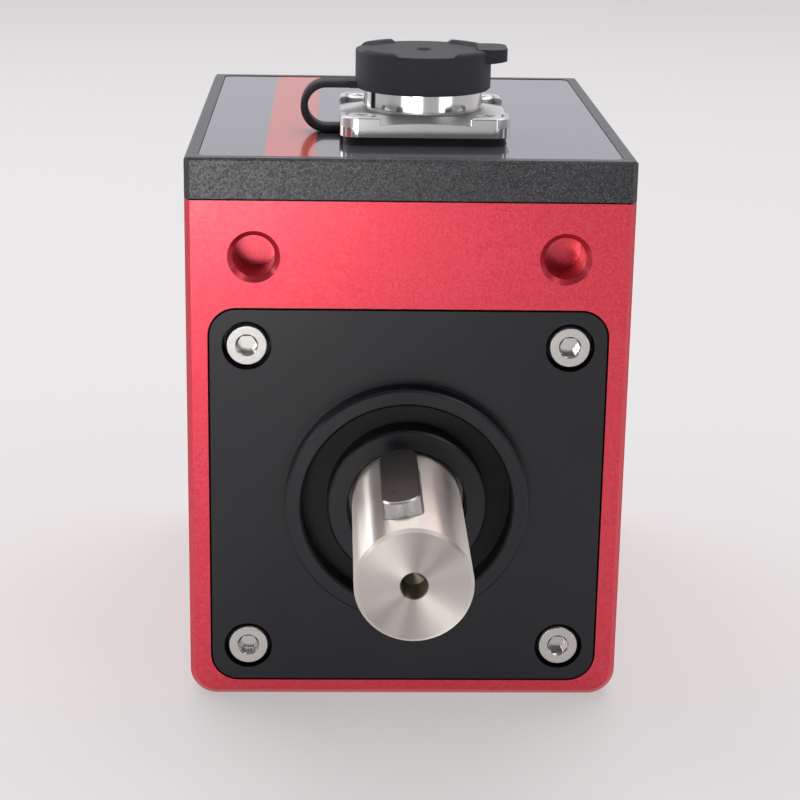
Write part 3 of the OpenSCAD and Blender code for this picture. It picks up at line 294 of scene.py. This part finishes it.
def platedShell(name, look):
    material, tree, shader = startMaterial(name, look)
    point = objectPoint(tree)
    cloud = noise(tree, point, look["cloud"], detail=3.0, rough=0.5)
    base = mixColour(tree, spread(tree, cloud, 0, 1), look["dark"], look["colour"])
    tree.links.new(base, shader.inputs["Base Color"])
    low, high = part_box("connector_gasket")
    split = splitPoint(tree, movePoint(tree, point, (-(low.x + high.x) / 2, -(low.y + high.y) / 2, 0)))
    reach = [calculate(tree, "ABSOLUTE", split[axis]) for axis in ("X", "Y")]
    onFlange = calculate(tree, "LESS_THAN", calculate(tree, "MAXIMUM", *reach), look["reliefReach"] * mm)
    atRelief = between(tree, split["Z"], look["reliefFrom"], look["reliefTo"])
    inRelief = calculate(tree, "MULTIPLY", onFlange, atRelief)
    rough = stretch(tree, inRelief, 0, 1, look["rough"], look["reliefRough"])
    tree.links.new(rough, shader.inputs["Roughness"])
    fine = noise(tree, point, look["grain"], detail=2.0, rough=0.55)
    addBump(tree, shader, fine, look["pits"], look["pitDepth"], look["edge"])
    return material


# glossy label: dark slate film with one red stripe along the shaft
labelLook = {
    "colour": (0.078, 0.078, 0.102), "pale": (0.095, 0.095, 0.120), "cloud": 60, "cloudShare": 0.3,
    "stripe": (0.52, 0.080, 0.068), "stripeFrom": -23.4, "stripeTo": -15.2, "rough": 0.18, "ior": 1.5,
    "coatRough": 0.05, "coatIor": 1.6, "filmCoat": 0.9, "stripeCoat": 0.45,
    "wave": 260, "waveStrength": 0.05, "waveDepth": 0.04,
}


def labelFilm(name, look):
    material, tree, shader = startMaterial(name, look)
    point = objectPoint(tree)
    inStripe = between(tree, splitPoint(tree, point)["X"], look["stripeFrom"], look["stripeTo"])
    cloud = noise(tree, point, look["cloud"], detail=3.0, rough=0.5)
    ground = mixColour(tree, spread(tree, cloud, 0, look["cloudShare"]), look["colour"], look["pale"])
    tree.links.new(mixColour(tree, inStripe, ground, look["stripe"]), shader.inputs["Base Color"])
    gloss = stretch(tree, inStripe, 0, 1, look["filmCoat"], look["stripeCoat"])
    tree.links.new(gloss, shader.inputs["Coat Weight"])
    wave = noise(tree, point, look["wave"], detail=2.0, rough=0.5)
    addBump(tree, shader, wave, look["waveStrength"], look["waveDepth"])
    return material


finishes = {
    "blackSatin": machinedBlack("blackSatin", plateLook),
    "turnedSteel": turnedMetal("turnedSteel", steelLook),
    "nickelPlate": platedShell("nickelPlate", shellLook),
    "labelFilm": labelFilm("labelFilm", labelLook),
}
blastedLooks = {
    "redAnodised": {
        "colour": (0.74, 0.040, 0.074), "dark": (0.65, 0.026, 0.050), "pale": (0.84, 0.11, 0.17),
        "speckFrom": 0.66, "metal": 0.85, "rough": 0.36, "coat": 0.72, "coatRough": 0.23, "coatIor": 1.55,
        "grain": 2900, "pits": 0.30, "fleck": 0.38},
    "blackBlasted": {
        "colour": (0.017, 0.017, 0.021), "dark": (0.008, 0.008, 0.011), "pale": (0.15, 0.15, 0.16),
        "speckFrom": 0.54, "metal": 0.2, "rough": 0.40, "coat": 0.32, "coatRough": 0.27, "coatIor": 1.6,
        "grain": 2600, "pits": 0.40, "fleck": 0.85},
}
grainedLooks = {
    "keySteel": {"colour": (0.49, 0.475, 0.465), "dark": (0.43, 0.42, 0.41), "metal": 1.0, "rough": 0.31,
                 "grain": 2600, "pits": 0.02, "edge": 0.15},
    "screwSteel": {"colour": (0.66, 0.64, 0.61), "dark": (0.55, 0.53, 0.51), "metal": 1.0, "rough": 0.22,
                   "grain": 3000, "pits": 0.06, "edge": 0.15},
    "brightScrew": {"colour": (0.82, 0.82, 0.82), "dark": (0.74, 0.74, 0.74), "metal": 0.8, "rough": 0.42,
                    "grain": 3000, "pits": 0.06},
    "capRubber": {"colour": (0.048, 0.048, 0.056), "dark": (0.040, 0.040, 0.048), "rough": 0.55,
                  "specular": 0.09, "grain": 2600, "pits": 0.2, "edge": 0.35, "sheen": 0.04,
                  "sheenRough": 0.45},
    "sealRubber": {"colour": (0.022, 0.022, 0.023), "dark": (0.014, 0.014, 0.015), "rough": 0.6,
                   "grain": 2400, "pits": 0.2},
    "insertPlastic": {"colour": (0.020, 0.020, 0.022), "dark": (0.012, 0.012, 0.013), "rough": 0.45,
                      "grain": 2200, "pits": 0.12},
    "contactGold": {"colour": (0.83, 0.60, 0.22), "dark": (0.70, 0.48, 0.16), "metal": 1.0, "rough": 0.22,
                    "grain": 2500, "pits": 0.05},
    "wireJacket": {"colour": (0.42, 0.035, 0.03), "dark": (0.32, 0.025, 0.02), "rough": 0.42,
                   "grain": 1500, "pits": 0.06},
    "boardGreen": {"colour": (0.014, 0.13, 0.055), "dark": (0.010, 0.09, 0.040), "rough": 0.32,
                   "grain": 900, "pits": 0.08},
    "chipBlack": {"colour": (0.020, 0.020, 0.022), "dark": (0.014, 0.014, 0.015), "rough": 0.5,
                  "grain": 2500, "pits": 0.15},
    "turnedBrass": {"colour": (0.72, 0.50, 0.20), "dark": (0.58, 0.38, 0.14), "metal": 1.0, "rough": 0.28,
                    "grain": 1600, "pits": 0.08},
    "copperWire": {"colour": (0.62, 0.27, 0.13), "dark": (0.48, 0.18, 0.08), "metal": 1.0, "rough": 0.3,
                   "grain": 1900, "pits": 0.2},
    "ferrite": {"colour": (0.060, 0.060, 0.064), "dark": (0.040, 0.040, 0.044), "metal": 0.3, "rough": 0.6,
                "grain": 2600, "pits": 0.25},
    "groundSteel": {"colour": (0.66, 0.66, 0.66), "dark": (0.56, 0.56, 0.56), "metal": 1.0, "rough": 0.18,
                    "grain": 2100, "pits": 0.05},
    "springSteel": {"colour": (0.11, 0.11, 0.12), "dark": (0.07, 0.07, 0.08), "metal": 0.9, "rough": 0.38,
                    "grain": 2300, "pits": 0.1},
    "gaugeFoil": {"colour": (0.52, 0.33, 0.09), "dark": (0.38, 0.22, 0.05), "rough": 0.34,
                  "grain": 1700, "pits": 0.1},
}
for finishName, ownLook in blastedLooks.items():
    finishes[finishName] = blastedMetal(finishName, {**blastedLook, **ownLook})
for finishName, ownLook in grainedLooks.items():
    finishes[finishName] = grainedFinish(finishName, {**grainedLook, **ownLook})

slotFinish = {
    "red_anodised": "redAnodised", "black_blasted": "blackBlasted", "black_satin": "blackSatin",
    "label_film": "labelFilm", "turned_steel": "turnedSteel", "key_steel": "keySteel",
    "stainless_screw": "screwSteel", "zinc_steel": "screwSteel", "nickel_plate": "nickelPlate",
    "cap_rubber": "capRubber", "seal_rubber": "sealRubber", "insert_plastic": "insertPlastic",
    "contact_gold": "contactGold", "wire_jacket": "wireJacket", "board_green": "boardGreen",
    "chip_black": "chipBlack", "spacer_brass": "turnedBrass", "pickup_body": "chipBlack",
    "copper_wire": "copperWire", "ferrite": "ferrite", "bearing_steel": "groundSteel",
    "ball_steel": "groundSteel", "cage_brass": "turnedBrass", "spring_steel": "springSteel",
    "gauge_foil": "gaugeFoil",
}
nodeFinish = {"connector_screws": "brightScrew"}  # paler than the plate screws of the same slot
for entry in frame["record"]["subparts"]:
    mesh = nodes[entry["node"]].data
    mesh.materials.clear()
    mesh.materials.append(finishes[nodeFinish.get(entry["node"], slotFinish[entry["material_slot"]])])
print("finishes set:", len(finishes))


# pieces
mergeDistance = 1e-7  # metres


def newPiece(name, mesh, body, finish):
    piece = bpy.data.objects.new(name, mesh)
    scene.collection.objects.link(piece)
    mesh.materials.clear()
    mesh.materials.append(finishes[finish])
    for face in mesh.polygons:
        face.use_smooth = True
    if body:
        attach(piece, body)
    return piece


def joinMeshes(name, parts):
    work = bmesh.new()
    for mesh, place in parts:
        copy = mesh.copy()
        copy.transform(place)
        work.from_mesh(copy)
    bmesh.ops.remove_doubles(work, verts=work.verts, dist=mergeDistance)
    bmesh.ops.recalc_face_normals(work, faces=work.faces)
    mesh = bpy.data.meshes.new(name)
    work.to_mesh(mesh)
    work.free()
    return mesh


# Geometry Nodes helpers
def startTree(name, sizes):
    tree = bpy.data.node_groups.new(name, "GeometryNodeTree")
    tree.interface.new_socket("Geometry", in_out="OUTPUT", socket_type="NodeSocketGeometry")
    tree.interface.new_socket("Geometry", in_out="INPUT", socket_type="NodeSocketGeometry")
    for label in sizes:
        tree.interface.new_socket(label, in_out="INPUT", socket_type="NodeSocketFloat")
    tree.interface.new_socket("Material", in_out="INPUT", socket_type="NodeSocketMaterial")
    return tree, tree.nodes.new("NodeGroupInput").outputs


def sweepAndEnd(tree, path, outline, material):
    swept = addNode(tree, "GeometryNodeCurveToMesh", {
        "Curve": path, "Profile Curve": outline, "Fill Caps": True})
    real = addNode(tree, "GeometryNodeRealizeInstances", {"Geometry": swept.outputs[0]})
    painted = addNode(tree, "GeometryNodeSetMaterial", {"Geometry": real.outputs[0], "Material": material})
    tree.links.new(painted.outputs[0], tree.nodes.new("NodeGroupOutput").inputs[0])
    return tree


def runTree(tree, values, points=()):
    path = bpy.data.meshes.new("treePath")
    path.from_pydata(points, [(i, i + 1) for i in range(len(points) - 1)], [])
    host = bpy.data.objects.new("treeHost", path)
    scene.collection.objects.link(host)
    modifier = host.modifiers.new("tree", "NODES")
    modifier.node_group = tree
    for item in tree.interface.items_tree:
        if item.in_out == "INPUT" and item.name in values:
            modifier[item.identifier] = values[item.name]
    bpy.context.view_layer.update()
    mesh = bpy.data.meshes.new_from_object(host.evaluated_get(bpy.context.evaluated_depsgraph_get()))
    host.modifiers.remove(modifier)
    bpy.data.objects.remove(host)
    return mesh


# cap strap: a flat ribbon with broken edges, swept along a loop in the plane of its solid, sizes in mm
strapLook = {"thick": 1.2, "edge": 0.4, "edgeSteps": 1, "bendSteps": 28, "straightSteps": 5, "held": 1.3}


def strapTree(look):
    tree, given = startTree("strapRibbon", ("Width", "Thickness", "Edge"))
    path = addNode(tree, "GeometryNodeMeshToCurve", {"Mesh": given["Geometry"]}).outputs[0]
    across = addNode(tree, "GeometryNodeSetCurveNormal", {"Curve": path, "Normal": (0, 1, 0)}, mode="FREE")
    outline = addNode(tree, "GeometryNodeCurvePrimitiveQuadrilateral",
                      {"Width": given["Width"], "Height": given["Thickness"]}, mode="RECTANGLE")
    softened = addNode(tree, "GeometryNodeFilletCurve", {
        "Curve": outline.outputs[0], "Radius": given["Edge"], "Count": look["edgeSteps"]}, mode="POLY")
    return sweepAndEnd(tree, across.outputs[0], softened.outputs[0], given["Material"])


def strapPath(look, low, high):
    half = look["thick"] * mm / 2
    zLow, zHigh, y = low.z + half, high.z - half, (low.y + high.y) / 2
    radius = (zHigh - zLow) / 2
    bendX, startX, endX = low.x + half + radius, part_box("connector_gasket")[0].x, high.x
    steps, turns = look["straightSteps"], look["bendSteps"]
    points = [(startX + (bendX - startX) * i / steps, y, zLow) for i in range(steps)]
    for i in range(turns + 1):
        angle = math.pi * i / turns
        points.append((bendX - radius * math.sin(angle), y, zLow + radius * (1 - math.cos(angle))))
    return points + [(bendX + (endX - bendX) * (i + 1) / steps, y, zHigh) for i in range(steps)]


strapLow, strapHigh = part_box("cap_strap")
ribbon = runTree(strapTree(strapLook), {
    "Width": strapHigh.y - strapLow.y, "Thickness": strapLook["thick"] * mm, "Edge": strapLook["edge"] * mm,
    "Material": finishes["capRubber"]}, strapPath(strapLook, strapLow, strapHigh))
strap = newPiece("capStrap", joinMeshes("capStrap", [(ribbon, Matrix())]), None, "capRubber")
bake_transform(strap)
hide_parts("cap_strap")
print("strap swept:", len(strap.data.polygons), "faces")


# threads: a fine ridge that winds along the wall of each tapped base hole, sizes in mm
threadLook = {"radius": 2.46, "pitch": 1.0, "turns": 10.0, "ridge": 0.16, "start": 0.6,
              "turnSteps": 24, "ridgeSides": 4}


def threadTree(look):
    tree, given = startTree("threadRidge", ("Radius", "Pitch", "Turns", "Ridge"))
    height = addNode(tree, "ShaderNodeMath", {0: given["Pitch"], 1: given["Turns"]}, operation="MULTIPLY")
    spiral = addNode(tree, "GeometryNodeCurveSpiral", {
        "Resolution": look["turnSteps"], "Rotations": given["Turns"], "Start Radius": given["Radius"],
        "End Radius": given["Radius"], "Height": height.outputs[0]})
    profile = addNode(tree, "GeometryNodeCurvePrimitiveCircle", {
        "Resolution": look["ridgeSides"], "Radius": given["Ridge"]})
    return sweepAndEnd(tree, spiral.outputs[0], profile.outputs["Curve"], given["Material"])


ridge = runTree(threadTree(threadLook), {
    "Radius": threadLook["radius"] * mm, "Pitch": threadLook["pitch"] * mm, "Turns": threadLook["turns"],
    "Ridge": threadLook["ridge"] * mm, "Material": finishes["redAnodised"]})
basePattern = next(m for m in frame["record"]["mounts"] if m["name"] == "base_holes")["dims"]
halfX, halfY = basePattern["spacing_x_mm"] / 2 * mm, basePattern["spacing_y_mm"] / 2 * mm
baseSpots = [Matrix.Translation((i * halfX, j * halfY, threadLook["start"] * mm))
             for i in (-1, 1) for j in (-1, 1)]
newPiece("baseThreads", joinMeshes("baseThreads", [(ridge, spot) for spot in baseSpots]), "housing",
         "redAnodised")
print("threads wound")


# floor, studio room and lamps; each fade is the range of a direction's part, -1 to 1, in which it comes in
stageLook = {
    "floor": (0.60, 0.585, 0.595), "floorRough": 0.5, "floorSpecular": 0.2, "floorReach": 4.0,
    "glow": (0.82, 0.795, 0.79), "glowShare": 0.52, "front": (0.18, 0.18, 0.185), "side": (0.16, 0.16, 0.165),
    "back": (0.62, 0.605, 0.64), "top": (0.26, 0.26, 0.265),
    "sideFade": (-0.85, -0.2), "backFade": (0.1, 0.6), "topFade": (0.5, 0.8),
}


def paleFloor(look):
    mesh = bpy.data.meshes.new("floor")
    r = look["floorReach"]
    mesh.from_pydata([(-r, -r, 0), (r, -r, 0), (r, r, 0), (-r, r, 0)], [], [(0, 1, 2, 3)])
    floor = bpy.data.objects.new("floor", mesh)
    scene.collection.objects.link(floor)
    material, tree, shader = startMaterial("paleFloor", {
        "colour": look["floor"], "rough": look["floorRough"], "specular": look["floorSpecular"]})
    ray = addNode(tree, "ShaderNodeLightPath").outputs
    mirrored = calculate(tree, "MAXIMUM", ray["Is Glossy Ray"], ray["Is Transmission Ray"])
    seen = calculate(tree, "MAXIMUM", ray["Is Camera Ray"], mirrored)
    glow = addNode(tree, "ShaderNodeEmission", {"Color": (*look["glow"], 1), "Strength": 1.0})
    blend = addNode(tree, "ShaderNodeMixShader", {0: calculate(tree, "MULTIPLY", seen, look["glowShare"])})
    tree.links.new(shader.outputs[0], blend.inputs[1])
    tree.links.new(glow.outputs[0], blend.inputs[2])
    tree.links.new(blend.outputs[0], tree.nodes["Material Output"].inputs["Surface"])
    mesh.materials.append(material)


def studioWorld(look):
    world = bpy.data.worlds.new("studio")
    scene.world = world
    world.use_nodes = True
    tree = world.node_tree
    split = splitPoint(tree, addNode(tree, "ShaderNodeTexCoord").outputs["Generated"])
    room = look["front"]
    for axis, wall in (("Y", "side"), ("Y", "back"), ("Z", "top")):
        room = mixColour(tree, stretch(tree, split[axis], *look[wall + "Fade"], 0, 1), room, look[wall])
    tree.links.new(room, tree.nodes["Background"].inputs["Color"])
    tree.nodes["Background"].inputs["Strength"].default_value = 1.0


# turn: degrees to the right of the near end; rise: degrees above the table; away, wide and tall in metres
lampTarget = Vector((0, -0.03, 0.05))
lampLooks = {
    "keyLamp": {"turn": -41, "rise": 12, "away": 0.38, "wide": 0.05, "tall": 0.05, "glow": 1.6},
    "leftHighBox": {"turn": -100, "rise": 26, "away": 0.6, "wide": 0.42, "tall": 0.08, "glow": 5.6},
    "lowFrontCard": {"turn": -12, "rise": -2, "away": 0.45, "wide": 0.14, "tall": 0.06, "glow": 11.6},
    "lowLeftCard": {"turn": -34, "rise": -2, "away": 0.45, "wide": 0.15, "tall": 0.06, "glow": 2.4},
    "lowRightCard": {"turn": 44, "rise": -2, "away": 0.42, "wide": 0.20, "tall": 0.06, "glow": 1.6},
    "rightTopBox": {"turn": 50, "rise": 45, "away": 0.8, "wide": 0.4, "tall": 0.4, "glow": 1.8},
    "leftSideBox": {"turn": -82, "rise": 14, "away": 0.8, "wide": 0.2, "tall": 0.25, "glow": 0.8},
    "rightSideBox": {"turn": 80, "rise": 14, "away": 0.8, "wide": 0.2, "tall": 0.25, "glow": 0.9},
    "leftBackBox": {"turn": -125, "rise": 10, "away": 0.8, "wide": 0.4, "tall": 0.3, "glow": 2.6},
    "rightBackBox": {"turn": 125, "rise": 10, "away": 0.8, "wide": 0.4, "tall": 0.4, "glow": 0.6},
    "backTopBox": {"turn": 180, "rise": 66, "away": 1.15, "wide": 1.6, "tall": 1.0, "glow": 3.5},
}


def softBox(name, look):
    turn, rise = math.radians(look["turn"]), math.radians(look["rise"])
    direction = Vector((math.sin(turn) * math.cos(rise), -math.cos(turn) * math.cos(rise), math.sin(rise)))
    lamp = bpy.data.lights.new(name, "AREA")
    lamp.shape = "RECTANGLE"
    lamp.size, lamp.size_y = look["wide"], look["tall"]
    lamp.energy = look["glow"] * math.pi * look["wide"] * look["tall"]  # glow is how bright its face is
    holder = bpy.data.objects.new(name, lamp)
    scene.collection.objects.link(holder)
    facing = direction.to_track_quat("Z", "Y").to_matrix().to_4x4()
    holder.matrix_world = Matrix.Translation(lampTarget + look["away"] * direction) @ facing


paleFloor(stageLook)
studioWorld(stageLook)
for lampName, lampLook in lampLooks.items():
    softBox(lampName, lampLook)
print("stage lit")
